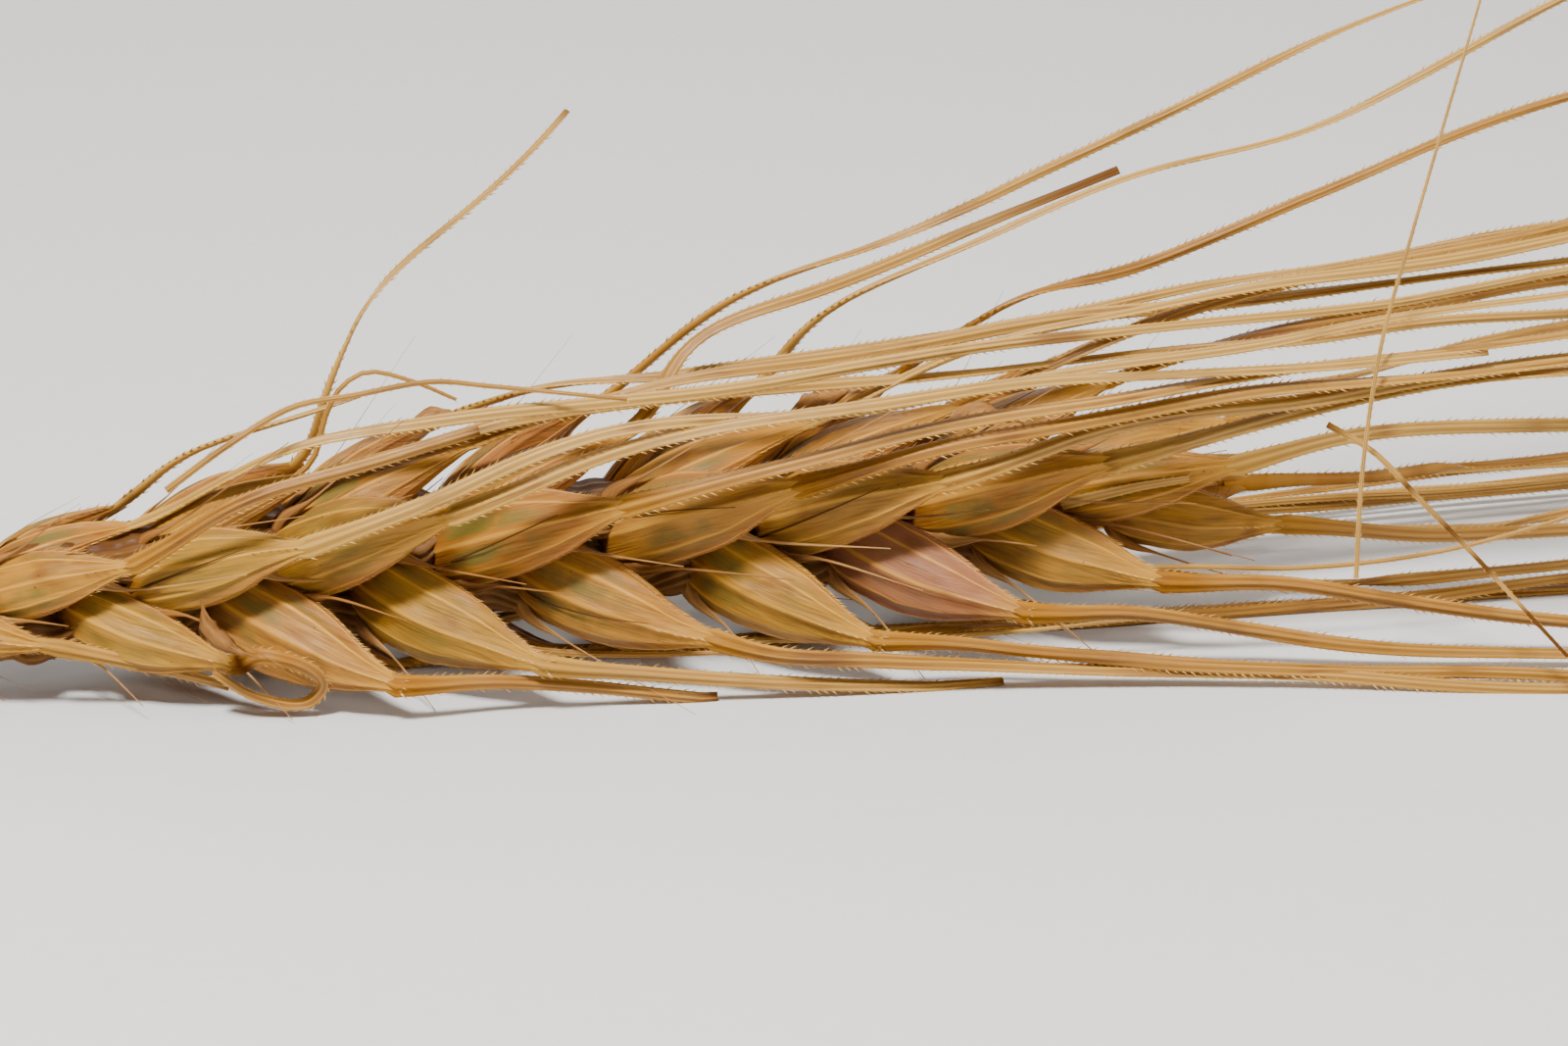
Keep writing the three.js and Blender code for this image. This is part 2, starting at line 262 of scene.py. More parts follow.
hullForm = {
    "along": 36,  # rings from the foot to the awn, closer at the foot
    "crowding": (1.25, 0.35),
    "angles": [0, 4, 9, 17, 26, 33, 38, 43, 52, 62, 68, 72, 77, 84, 91, 97, 103, 114, 130, 148, 162, 172, 180],
    "width": ([0, 0.03, 0.09, 0.18, 0.32, 0.5, 0.64, 0.78, 0.9, 1],
              [0.22, 0.5, 0.77, 0.94, 1, 0.95, 0.78, 0.5, 0.28, 0.15]),
    "thickness": ([0, 0.03, 0.09, 0.18, 0.34, 0.5, 0.66, 0.8, 0.92, 1],
                  [0.24, 0.48, 0.72, 0.9, 1, 0.93, 0.7, 0.42, 0.2, 0.07]),
    "thinnest": 0.1,
    "boxiness": (0.92, 0.86),  # across and outward, 1 for an ellipse
    "body": (0.02, 0.12, 0.82, 0.98),  # shares of the length where the relief rises and fades
    "nerves": [(0, 0.1, 5), (38, 0.07, 5), (72, 0.06, 5)],  # angle from the keel, height, width
    "nerveGap": 37,
    "keel": (0.12, 26),  # height or depth in mm, width in degrees, also for dent and groove
    "dent": (0.16, 11),
    "groove": (0.4, 15),
    "marginStep": 0.13,
    "innerDepth": 0.95,
    "wrinkles": [(0.11, 0.16, 15, 7), (0.055, 0.9, 24, 17)],  # depth, how often along, degrees round, draw
    "curl": 0.3,
    "farBroader": 1.12,
    "lowest": 0.02,
}


def hump(distance, width):
    return math.exp(-((distance / width) ** 2))


def sectionPoint(delta, share, halfWidth, halfThickness, seed, along):
    form, turn, side = hullForm, math.radians(delta), abs(delta)
    x = halfWidth * math.copysign(abs(math.sin(turn)) ** form["boxiness"][0], delta)
    depth = halfThickness * abs(math.cos(turn)) ** form["boxiness"][1]
    z = depth if side <= 90 else -depth * form["innerDepth"]
    rise, full, fade, gone = form["body"]
    body = smooth(rise, full, share) * (1 - smooth(fade, gone, share))
    lift = sum(height * hump(side - at, wide) * (0.35 + 0.65 * body) for at, height, wide in form["nerves"])
    lift += form["keel"][0] * hump(side, form["keel"][1]) * body
    if side < 90:  # the husk has dried in between its nerves
        between = 1 - max(hump(side - at, form["dent"][1]) for at, _, _ in form["nerves"])
        lift -= form["dent"][0] * between * body * (0.45 + wobble(along * 0.22, delta / 34, seed))
    else:
        lift -= form["marginStep"] * smooth(95, 102, side) * body
        lift -= form["groove"][0] * hump(180 - side, form["groove"][1]) * body
    for deep, often, wide, draw in form["wrinkles"]:
        lift += deep * body * wobble(along * often, delta / wide, seed + draw)
    return x + lift * math.sin(turn), z + lift * math.cos(turn)


def hullHalves(share, size):  # half width and half thickness
    return (profileAt(hullForm["width"], share) * hullSize["halfWidth"] * size,
            profileAt(hullForm["thickness"], share) * hullSize["halfThickness"] * size)


def hullGrid(spikelet):
    form, line, facing = hullForm, spikelet["line"], spikelet["facing"]
    size, seed, length = spikelet["size"], spikelet["count"] * 3.7, spikelet["length"]
    broad = form["farBroader"] if spikelet["row"].endswith("Far") else 1
    deltas = form["angles"] + [-a for a in reversed(form["angles"][1:-1])]
    points, zones, fibres = [], [], []
    for step in np.arange(form["along"] + 1) / form["along"]:
        share = mix(step ** form["crowding"][0], step, form["crowding"][1])
        middle = bendPoint(line, share)
        _, across, outward = bendFrame(line, share, facing)
        wide, thick = hullHalves(share, size)
        wide, thick = wide * broad, max(thick, form["thinnest"])
        curl = smooth(0.2, 0.6, share) * (1 - smooth(0.6, 0.95, share)) * wobble(share * 1.5, seed, 3.1)
        for delta in deltas:
            x, z = sectionPoint(delta, share, wide, thick, seed, share * length)
            points.append(middle + across * (x + form["curl"] * size * curl) + outward * z)
            zones.append((share, abs(delta) / 180, 0))
            fibres.append((math.radians(delta) * wide, share * length, seed))
    grid = np.array(points)
    grid[:, 2] = np.maximum(grid[:, 2], form["lowest"])  # the lowest hulls lie flat on the surface
    return grid, zones, fibres, len(deltas)


for spikelet in spikelets:
    spikelet["hull"] = hullGrid(spikelet)


def hullTint(spikelet):  # paleness, pinkness and greenness of one hull
    pink = 1.0 if spikelet["name"] == odd["pink"] else 0.22 * chance(spikelet["count"] + 700) ** 2
    pale = 0.3 * (1 - smooth(0, 4, spikelet["joint"]))
    return (clamp(chance(spikelet["count"] + 800) * 0.8 + pale, 0, 1), pink,
            chance(spikelet["count"] + 900))


def gridFaces(start, rings, around):
    faces = []
    for ring in range(rings):
        for k in range(around):
            a = start + ring * around + k
            b = start + ring * around + (k + 1) % around
            faces.append((a, b, b + around, a + around))
    faces.append(tuple(start + k for k in reversed(range(around))))
    faces.append(tuple(start + rings * around + k for k in range(around)))
    return faces


def newPiece(name, data, material=None):  # any object, in the scene
    made = bpy.data.objects.new(name, data)
    bpy.context.collection.objects.link(made)
    if material:
        data.materials.clear()
        data.materials.append(material)
    return made


def meshObject(name, points, edges, faces, attributes, material=None):  # attributes hold a value for each point
    mesh = bpy.data.meshes.new(name)
    mesh.from_pydata(points, edges, faces)
    for key, values in attributes.items():
        kind, field = ("FLOAT_VECTOR", "vector") if np.ndim(values[0]) else ("FLOAT", "value")
        layer = mesh.attributes.new(key, kind, "POINT")
        layer.data.foreach_set(field, np.asarray(values, dtype=np.float32).ravel())
    if faces:
        mesh.shade_smooth()
    return newPiece(name, mesh, material)


def makeHulls(side, material):
    points, faces, zones, fibres, tints = [], [], [], [], []
    for spikelet in ofSide(side):
        grid, zone, fibre, around = spikelet["hull"]
        faces += gridFaces(len(points), hullForm["along"], around)
        points += list(toMetres(grid))
        zones += zone
        fibres += fibre
        tints += [hullTint(spikelet)] * len(grid)
    attributes = {"zone": zones, "fibre": fibres, "tint": tints}
    return meshObject(side + "_hulls", points, [], faces, attributes, material)


# Lines that awns, barbs, glumes and bristles are swept or set along

class LineSet:
    def __init__(self):
        self.points, self.edges, self.values = [], [], {}

    def add(self, points, **values):
        start = len(self.points)
        self.points += list(toMetres(points))
        self.edges += [(start + i, start + i + 1) for i in range(len(points) - 1)]
        for name, value in values.items():
            whole = list(value) if np.ndim(value) and len(value) == len(points) else [value] * len(points)
            self.values.setdefault(name, []).extend(whole)

    def addSwept(self, points, facing, girth, twist=None, **values):
        self.add(points, normal=-framesAlong(points, facing, twist)[1], girth=np.asarray(girth) * mm, **values)

    def addEdges(self, points, across, half, grow):  # both edges of a flat line
        for sign in (-1, 1):
            self.add(points + across * sign * half[:, None], away=across * sign, grow=grow)

    def makeObject(self, name):
        return meshObject(name, self.points, self.edges, [], self.values)


awnForm = {
    "root": 0.84, "reach": 11, "lowest": 0.08, "brokenLength": 16, "leanShare": 0.42,
    "lengthSwing": 0.12, "aroundSwing": 14, "spreadSwing": 2.5,
    "step": 0.8, "loopStep": 0.3, "easing": 6, "shortestWhole": 60, "halfWidth": 0.41, "tipShare": 0.36,
    "brokenShare": 0.72,
    "slimFar": 0.82, "slimLeaning": 0.6,  # far awns are finer, the one that leans back most of all
    "wave": 0.5, "twist": 1.6, "turnsTo": [0.15, -0.75, 0.65], "flare": 0.25, "flareLength": 3.4,
}


def awnPoints(spikelet):
    root, tip = bendPoint(spikelet["line"], awnForm["root"]), bendPoint(spikelet["line"], 1)
    own = awnRoutes.get(spikelet["name"])
    points = [root, tip]
    if own:
        points += [np.array(point, dtype=float) for point in own]
    else:
        row, count = rows[spikelet["row"]], spikelet["count"]
        whole = chance(count + 600) > row["broken"]
        length = row["awn"] * spikelet["size"] if whole else awnForm["brokenLength"]
        length *= 1 + swing(count + 300, awnForm["lengthSwing"])
        angle = spikelet["angle"] + math.radians(swing(count + 400, awnForm["aroundSwing"]))
        heading = leaning(angle, math.radians(row["spread"] + swing(count + 500, awnForm["spreadSwing"])))
        leaving = tip + leaning(spikelet["angle"], spikelet["lean"] * awnForm["leanShare"]) * awnForm["reach"]
        points += [leaving, leaving + heading * length / 2, leaving + heading * length]
    for point in points[2:]:
        point[2] = max(point[2], awnForm["lowest"])
    return points


# Thin awns that have come loose at their foot and lie among the others: side, half width, darkness, route
strays = {
    "leaning": ("upper", 0.13, 0.15, [[66.4, -12, 6.1], [66.8, -11, 11.4], [67.8, -10, 17.6], [69.4, -9, 22.8],
                                      [73.3, -6, 33.7]]),
    "patched": ("upper", 0.17, 0.9, [[65.5, -9, 13.2], [67.6, -10, 12], [69.9, -11, 9.6], [72.2, -12, 7.2],
                                     [76.2, -16, 2.8]]),
    "tipThread": ("upper", 0.16, 0, [[53, -2, 5.2], [55.7, -4, 4.6], [60.6, -5, 4.5], [65.5, -6, 4.5],
                                     [73.2, -6, 5], [84.6, -6, 7.7]]),
    "stub": ("upper", 0.3, 0.2, [[53.5, -3, 7.6], [55.6, -4, 8.4], [57.4, -4.5, 8.9], [59.6, -5, 9.3]]),
    "stubBehind": ("upper", 0.38, 0.6, [[57.4, 3, 6.4], [60.1, 3.5, 6.5], [62.7, 4, 6.4], [65.2, 4, 6.1]]),
    "stubFarther": ("upper", 0.34, 0.7, [[58.1, 4, 6.7], [61.4, 4.5, 6.9], [64.5, 5, 6.7], [67.3, 5, 6.6]]),
    "lowThread": ("lower", 0.2, 0, [[23.3, -2, 1.9], [27.1, -3, 1.4], [31.5, -4, 1.3], [36.1, -5, 1.5]]),
    "longThread": ("lower", 0.16, 0, [[32, -1, 1.2], [38.7, -3, 1.2], [48.9, -5, 1.6], [58.6, -6, 2.4]]),
    "curled": ("upper", 0.17, 0.1, [[13.8, 0, 9.6], [15.8, 0, 11.2], [16.6, 0, 13.6], [17.4, 0, 15],
                                    [18.7, 0, 15.7], [20.9, 0, 15.1], [23.1, 0, 14]]),
    "crest": ("upper", 0.18, 0.2, [[8.4, -4, 11.5], [11.4, -4, 13.6], [14.8, -3, 15.1], [17.7, -3, 15.5],
                                   [21.6, -3, 16], [24.5, -3, 15.6], [31, -5, 15.2]]),
}
# Shrivelled glumes that stand off the hulls as bent leaves, in the same order
shrivelled = {
    "byLoop": ("lower", 0.42, 0.3, [[9.7, -7.4, 7], [10, -7.6, 5.6], [11, -7.8, 4.6], [12.4, -7.8, 3.9]]),
    "crestLeft": ("upper", 0.42, 0.1, [[20.8, 2.5, 11.6], [21.6, 2.5, 12.2], [22.6, 2.5, 12.4], [23.9, 2, 12.3]]),
    "crestMiddle": ("upper", 0.55, 0, [[39.9, 1, 11.8], [41.7, 1.5, 12.4], [43.2, 2, 12.7], [44.4, 2.5, 13.2]]),
    "crestRight": ("upper", 0.6, 0.05, [[46.7, -3, 11.9], [47.8, -3.5, 12.6], [49.1, -3.5, 12.9],
                                        [51.5, -3, 12.1]]),
}


def routesOf(group, side, step):
    for index, (itsSide, half, dark, route) in enumerate(group.values()):
        if itsSide == side:
            yield index, half, dark, *evenSteps(np.array(route, dtype=float), step)


def layStrays(side, awns, barbs):
    for index, foot, dark, line, reach in routesOf(strays, side, 0.7):
        seed, facing = 400 + index * 11.0, np.array([0.1, -1, 0.4])
        half = foot * (1 - 0.45 * reach / reach[-1])
        spot = dark * smooth(-0.02, 0.14, wobbleAlong(reach * 0.45, seed, 2.2))
        awns.addSwept(line, facing, half, along=reach + 30, spot=spot, tone=chance(seed), seed=seed)
        barbs.addEdges(line, framesAlong(line, facing)[1], half * 0.9, 0.5)


def awnSpot(spikelet, reach):  # how dark an awn is: at the knot of the loop and at cut ends
    end = reach[-1]
    if spikelet["name"] == odd["looped"]:
        return np.exp(-(((reach - 2.2) / 0.75) ** 2))
    if spikelet["name"] == odd["darkEnded"]:
        return 0.85 * smooth(end - 12, end - 2, reach)
    return 0.7 * smooth(end - 1.2, end, reach) * (end < awnForm["shortestWhole"])


def layAwns(side):
    awns, barbs = LineSet(), LineSet()
    for spikelet in ofSide(side):
        form, size, seed = awnForm, spikelet["size"], spikelet["count"] * 5.3
        looped = spikelet["name"] == odd["looped"]
        line, reach = evenSteps(awnPoints(spikelet), form["loopStep" if looped else "step"])
        kept = 2 if spikelet["row"].endswith("Near") and not looped else 0  # leaves the hull in line with it
        line = np.concatenate([line[:kept], eased(line[kept:], 1 if looped else form["easing"])])
        twist = form["twist"] * wobbleAlong(reach / 20, seed, 1.7) * smooth(3, 14, reach)
        turning = smooth(4, 22, reach)[:, None]
        facing = spikelet["facing"] * (1 - turning) + np.array(form["turnsTo"]) * turning
        if not looped:
            _, across, outward = framesAlong(line, facing, twist)
            wave = form["wave"] * smooth(2, 12, reach)
            line = line + (across * (wobbleAlong(reach / 13, seed, 5.1) * wave)[:, None]
                           + outward * (wobbleAlong(reach / 17, seed, 9.2) * wave)[:, None])
        share = reach / reach[-1]
        thin = 1 - (1 - form["tipShare"]) * share**1.4
        if reach[-1] < form["shortestWhole"]:
            thin = mix(1, form["brokenShare"], share)
        slim = form["slimFar"] if spikelet["row"].endswith("Far") else 1
        slim = form["slimLeaning"] if spikelet["name"] == odd["leaningBack"] else slim
        half = form["halfWidth"] * mix(0.85, 1, size) * thin * slim
        line[:, 2] = np.maximum(line[:, 2], half * 0.55)
        flare = form["flare"] * slim * size * np.exp(-((reach / form["flareLength"]) ** 2))
        half = (half + flare) * mix(0.4, 1, smooth(0, 1.6, reach))  # starts inside the tip of the hull
        spot = awnSpot(spikelet, reach)
        awns.addSwept(line, facing, half, twist, along=reach, spot=spot, tone=chance(spikelet["count"] + 1000),
                      seed=seed)
        across = framesAlong(line, facing, twist)[1]
        barbs.addEdges(line[2:], across[2:], half[2:] * 0.96, (0.85 * thin**0.4 * (1 - spot))[2:])
    return awns, barbs


# Barbs on awns and hulls, hairs on the hull margins and on the rachis: sizes in mm, and the draw that varies them
barbForm = {"every": 0.42, "length": 0.4, "halfWidth": 0.052, "draw": 5}
fringeForm = {"every": 0.15, "length": 0.46, "halfWidth": 0.03, "draw": 7}
hairForm = {"every": 0.16, "length": 0.45, "halfWidth": 0.022, "draw": 9}
barbedPlaces = ((-84, 0.5), (84, 0.5), (0, 0.72))  # degrees from the keel, and from what share of the length on
fringedPlaces = ((-84, 0.36), (84, 0.36))


def layHullTeeth(side, lines, places):
    for spikelet in ofSide(side):
        grid, zones, _, around = spikelet["hull"]
        grid = grid.reshape(-1, around, 3)
        shares = np.array(zones)[::around, 0]
        for angle, first in places:
            column = hullForm["angles"].index(abs(angle))
            keep = shares > first
            edge = grid[keep, around - column if angle < 0 else column]
            middle = np.array([bendPoint(spikelet["line"], s) for s in shares[keep]])
            away = edge - middle
            away /= np.linalg.norm(away, axis=1)[:, None]
            lines.add(edge, away=away, grow=0.55 + 0.25 * shares[keep])


glumeForm = {
    "length": 5.2, "bristle": 7, "halfWidth": 0.5, "bristleHalfWidth": 0.075, "step": 0.35, "splay": 0.5,
    "faceLine": 0.4, "faceLineHalfWidth": 0.05,
}


def layShrivelled(side, lines):
    for index, half, dark, points, reach in routesOf(shrivelled, side, 0.25):
        share, seed = reach / reach[-1], 60.0 + index * 3.1
        body = smooth(0, 0.35, share) * (1 - smooth(0.45, 1, share)) * (1 + 0.5 * wobbleAlong(share * 9, seed, 1))
        lines.addSwept(points, np.array([0.1, -0.9, 0.45]), half * (0.12 + body),
                       2.4 * wobbleAlong(share * 3, seed, 4), along=reach * 4, spot=dark, tone=0.5, seed=seed)


# darkness makes the core dark brown all over: partly its own colour, partly painted shade between the hulls
coreForm = {
    "offset": 1.75, "girth": 2.5, "step": 0.35, "lumps": 0.25, "flatness": 0.5, "around": 64, "strands": 16,
    "strandHeight": 0.16, "twist": 0.5, "darkness": 0.6,
}


def layCore(side):  # what the spikelets of one side grow out of, against the face of the rachis
    facing = np.array([0, 0, -1.0 if side == "lower" else 1.0])
    first = 0 if side == "lower" else 1
    seats = [axisAt(x) + facing * coreForm["offset"] for x in earLayout["joints"][first::2]]
    points, reach = evenSteps(seats, coreForm["step"])
    ends = smooth(0, 2.5, reach) * smooth(0, 2.5, reach[-1] - reach)
    lumps = 1 + coreForm["lumps"] * wobbleAlong(reach * 0.8, 2.2, first)
    girth = coreForm["girth"] * mix(0.3, 1, ends) * lumps
    lines = LineSet()
    # the spot darkens the whole core, partly its own brown and partly painted shade between the hulls
    lines.addSwept(points, facing, girth, coreForm["twist"] * wobbleAlong(reach * 0.3, 7.7, first), along=reach,
                   spot=coreForm["darkness"], tone=0.0, seed=90.0 + first)
    return lines


def layGlumes(side):
    glumes, form = LineSet(), glumeForm
    layShrivelled(side, glumes)
    for spikelet in ofSide(side):
        line, facing, size, count = (spikelet[key] for key in ("line", "facing", "size", "count"))

        def onHull(share, x, z):
            _, across, outward = bendFrame(line, share, facing)
            wide, thick = hullHalves(share, size)
            return bendPoint(line, share) + across * x * wide + outward * z * thick

        for sign in (-1, 1):
            draw = count * 2 + (sign + 1) / 2
            splay = form["splay"] * (0.6 + chance(draw + 1100))
            along, across, outward = bendFrame(line, 0.35, facing)
            start, hug = onHull(0.015, sign * 0.5, 0.8), onHull(0.16, sign * 0.98, 0.62)
            leave = onHull(0.36, sign * (1.08 + 0.1 * splay), 0.5 + 0.2 * chance(draw + 1200))
            heading = unit(along + across * sign * splay * 0.7 + outward * swing(draw + 1300, 0.25))
            end = leave + heading * form["bristle"] * (0.5 + 0.8 * chance(draw + 1400)) * size
            leave[2], end[2] = max(leave[2], 0.3), max(end[2], 0.15)
            points, reach = evenSteps([start, hug, leave, end], form["step"])
            body = form["length"] * size
            swell = smooth(-0.6, body * 0.35, reach) * (1 - smooth(body * 0.35, body, reach)) ** 0.8
            girth = mix(form["bristleHalfWidth"], form["halfWidth"] * size, swell)
            girth = girth * (1 - 0.6 * smooth(body, reach[-1], reach))
            glumes.addSwept(points, facing + across * sign * 0.5, girth, along=reach, spot=0.0,
                            tone=chance(draw + 1500), seed=draw)
        if chance(count + 1600) < form["faceLine"]:
            sign = 1 if chance(count + 1700) > 0.5 else -1
            points, reach = evenSteps([
                onHull(0.06, sign * 0.5, 0.95), onHull(0.25, sign * 0.3, 1.09), onHull(0.5, sign * 0.12, 1.2),
                onHull(0.72, -sign * 0.2, 1.5)], form["step"])
            glumes.addSwept(points, facing, form["faceLineHalfWidth"] * (1.6 - 1.2 * reach / reach[-1]),
                            along=reach, spot=0.8, tone=0.1, seed=count * 7.7)
    return glumes


# Geometry Nodes: one tree sweeps a section along lines, one sets barbs along lines

def setInputs(tree, made, values):
    for key, value in values.items():
        if isinstance(value, bpy.types.NodeSocket):
            tree.links.new(value, made.inputs[key])
        else:
            made.inputs[key].default_value = value


def node(tree, kind, values=None, **settings):
    made = tree.nodes.new(kind)
    for name, value in settings.items():
        setattr(made, name, value)
    setInputs(tree, made, values or {})
    return made


def newTree(name, kind, inputs, outputs):
    tree = bpy.data.node_groups.new(name, kind + "NodeTree")
    for way, sockets in (("INPUT", inputs), ("OUTPUT", outputs)):
        for label, socketKind in sockets.items():
            tree.interface.new_socket(label, in_out=way, socket_type="NodeSocket" + socketKind)
    return tree, tree.nodes.new("NodeGroupInput").outputs, tree.nodes.new("NodeGroupOutput")


def wire(tree, kind, values=None, which=0, **settings):  # a node's output, its first one if nothing else is said
    return node(tree, kind, values, **settings).outputs[which]


def named(tree, name, kind):
    return wire(tree, "GeometryNodeInputNamedAttribute", {"Name": name}, "Attribute", data_type=kind)


def finishTree(tree, end, geometry, smoothShade):
    shaded = wire(tree, "GeometryNodeSetShadeSmooth", {"Geometry": geometry, "Shade Smooth": smoothShade})
    tree.links.new(wire(tree, "GeometryNodeRealizeInstances", {"Geometry": shaded}), end.inputs[0])


def sweepTree():
    tree, given, end = newTree("sweepAlongLines", "Geometry", {"Geometry": "Geometry", "Section": "Object"},
                               {"Geometry": "Geometry"})
    curve = wire(tree, "GeometryNodeMeshToCurve", {"Mesh": given["Geometry"]})
    turned = wire(tree, "GeometryNodeSetCurveNormal",
                  {"Curve": curve, "Normal": named(tree, "normal", "FLOAT_VECTOR")}, mode="FREE")
    section = wire(tree, "GeometryNodeObjectInfo", {"Object": given["Section"]}, "Geometry")
    outline = wire(tree, "GeometryNodeMeshToCurve", {"Mesh": section})
    swept = wire(tree, "GeometryNodeCurveToMesh", {"Curve": turned, "Profile Curve": outline,
                                                   "Scale": named(tree, "girth", "FLOAT"), "Fill Caps": True})
    finishTree(tree, end, swept, True)
    return tree


def barbTree():
    tree, given, end = newTree("barbsAlongLines", "Geometry", {
        "Geometry": "Geometry", "Spacing": "Float", "Length": "Float", "Half Width": "Float", "Seed": "Int",
    }, {"Geometry": "Geometry"})
    curve = wire(tree, "GeometryNodeMeshToCurve", {"Mesh": given["Geometry"]})
    spots = node(tree, "GeometryNodeCurveToPoints", {"Curve": curve, "Length": given["Spacing"]}, mode="LENGTH")
    drawn = [wire(tree, "FunctionNodeRandomValue", {2: low, 3: high, "Seed": given["Seed"]}, 1, data_type="FLOAT")
             for low, high in ((0.3, 0.75), (0.55, 1.25))]  # how far a barb leans out, and its size
    away = wire(tree, "ShaderNodeVectorMath", {0: named(tree, "away", "FLOAT_VECTOR"), "Scale": drawn[0]},
                operation="SCALE")
    heading = wire(tree, "ShaderNodeVectorMath", {0: spots.outputs["Tangent"], 1: away}, operation="ADD")
    aimed = wire(tree, "FunctionNodeAlignRotationToVector", {"Vector": heading}, axis="Z")
    tooth = wire(tree, "GeometryNodeMeshCone",
                 {"Vertices": 3, "Radius Bottom": given["Half Width"], "Depth": given["Length"]}, "Mesh",
                 fill_type="NGON")
    size = wire(tree, "ShaderNodeMath", {0: drawn[1], 1: named(tree, "grow", "FLOAT")}, operation="MULTIPLY")
    placed = wire(tree, "GeometryNodeInstanceOnPoints",
                  {"Points": spots.outputs["Points"], "Instance": tooth, "Rotation": aimed, "Scale": size})
    finishTree(tree, end, placed, False)
    return tree


def runTree(lineSet, name, tree, values, material):  # lines become one plain mesh
    lines = lineSet.makeObject(name + "_lines")
    modifier = lines.modifiers.new(name, "NODES")
    modifier.node_group = tree
    for item in tree.interface.items_tree:
        if item.in_out == "INPUT" and item.name in values:
            modifier[item.identifier] = values[item.name]
    bpy.context.view_layer.update()
    mesh = bpy.data.meshes.new_from_object(lines.evaluated_get(bpy.context.evaluated_depsgraph_get()))
    mesh.name = name
    bpy.data.objects.remove(lines)
    return newPiece(name, mesh, material)


def sectionObject(name, outline):  # closed outline, x across and y outward, for a half width of 1
    edges = [(i, (i + 1) % len(outline)) for i in range(len(outline))]
    # groove is 1 along the two grooves of the outward face; the awn material darkens them there as painted shade
    grooves = [1 - abs(abs(x) - 0.42) / 0.42 if y > 0 else 0 for x, y in outline]
    return meshObject(name, [(x, y, 0) for x, y in outline], edges, [], {"groove": grooves})


# Materials

def attribute(tree, name, which="Fac"):
    return wire(tree, "ShaderNodeAttribute", None, which, attribute_name=name)


def math2(tree, operation, a, b=0.0):
    return wire(tree, "ShaderNodeMath", {0: a, 1: b}, operation=operation)


def times(tree, first, *others):
    for other in others:
        first = math2(tree, "MULTIPLY", first, other)
    return first


def distance(tree, value, place):
    return math2(tree, "ABSOLUTE", math2(tree, "SUBTRACT", value, place))


def remap(tree, value, low, high, toLow=0.0, toHigh=1.0):
    return wire(tree, "ShaderNodeMapRange",
                {"Value": value, "From Min": low, "From Max": high, "To Min": toLow, "To Max": toHigh},
                interpolation_type="SMOOTHSTEP")


def blendColours(tree, share, a, b):
    return wire(tree, "ShaderNodeMix", {"Factor": share, 6: a, 7: b}, 2, data_type="RGBA")


def layered(tree, base, look, layers):  # colours laid over each other, each with its share
    for share, tone in layers:
        base = blendColours(tree, share, base, look[tone])
    return base


def colour(*screen):  # from screen values of 0 to 255
    return (*(c / 12.92 if c <= 0.04045 else ((c + 0.055) / 1.055) ** 2.4 for c in (v / 255 for v in screen)), 1)


def palette(**tones):
    return {name: colour(*screen) for name, screen in tones.items()}


def scaled(tree, vector, x, y, z):
    return wire(tree, "ShaderNodeVectorMath", {0: vector, 1: (x, y, z)}, operation="MULTIPLY")


def noiseAt(tree, vector, scale, detail):
    return wire(tree, "ShaderNodeTexNoise",
                {"Vector": vector, "Scale": scale, "Detail": detail, "Roughness": 0.55})


def fibreGroup():  # dry plant fibre: long streaks, fine lines and blotches from a coordinate in millimetres
    group, given, end = newTree("dryFibre", "Shader", {"Fibre": "Vector", "Crowding": "Float"},
                                {name: "Float" for name in ("Streaks", "Lines", "Blotches", "Height")})
    crowded = wire(group, "ShaderNodeVectorMath", {0: given["Fibre"], "Scale": given["Crowding"]},
                   operation="SCALE")
    streaks = noiseAt(group, scaled(group, crowded, 2.6, 0.28, 1), 1.0, 4)
    lines = noiseAt(group, scaled(group, crowded, 9.0, 0.5, 1), 1.0, 2)
    blotches = noiseAt(group, scaled(group, given["Fibre"], 0.45, 0.4, 1), 1.0, 3)
    setInputs(group, end, {
        "Streaks": remap(group, streaks, 0.32, 0.68), "Lines": remap(group, lines, 0.3, 0.7),
        "Blotches": remap(group, blotches, 0.36, 0.64),
        "Height": math2(group, "ADD", times(group, streaks, 0.6), times(group, lines, 0.4))})
    return group


def newMaterial(name):
    material = bpy.data.materials.new(name)
    material.use_nodes = True
    return material, material.node_tree, material.node_tree.nodes["Principled BSDF"]


def useFibre(tree, group, vector, crowding=1.0):
    return node(tree, "ShaderNodeGroup", {"Fibre": vector, "Crowding": crowding}, node_tree=group).outputs


def split(tree, name):
    return node(tree, "ShaderNodeSeparateXYZ", {0: attribute(tree, name, "Vector")}).outputs


def bumped(tree, height, deep, strength):
    return wire(tree, "ShaderNodeBump", {"Height": height, "Distance": deep, "Strength": strength})


hullLook = palette(
    gold=(160, 104, 24), deep=(104, 58, 10), pale=(190, 138, 44), green=(106, 92, 34), pink=(144, 86, 38),
    lilac=(136, 84, 62), nerve=(200, 148, 56), brown=(52, 26, 8), rust=(140, 72, 14), olive=(126, 106, 32),
)


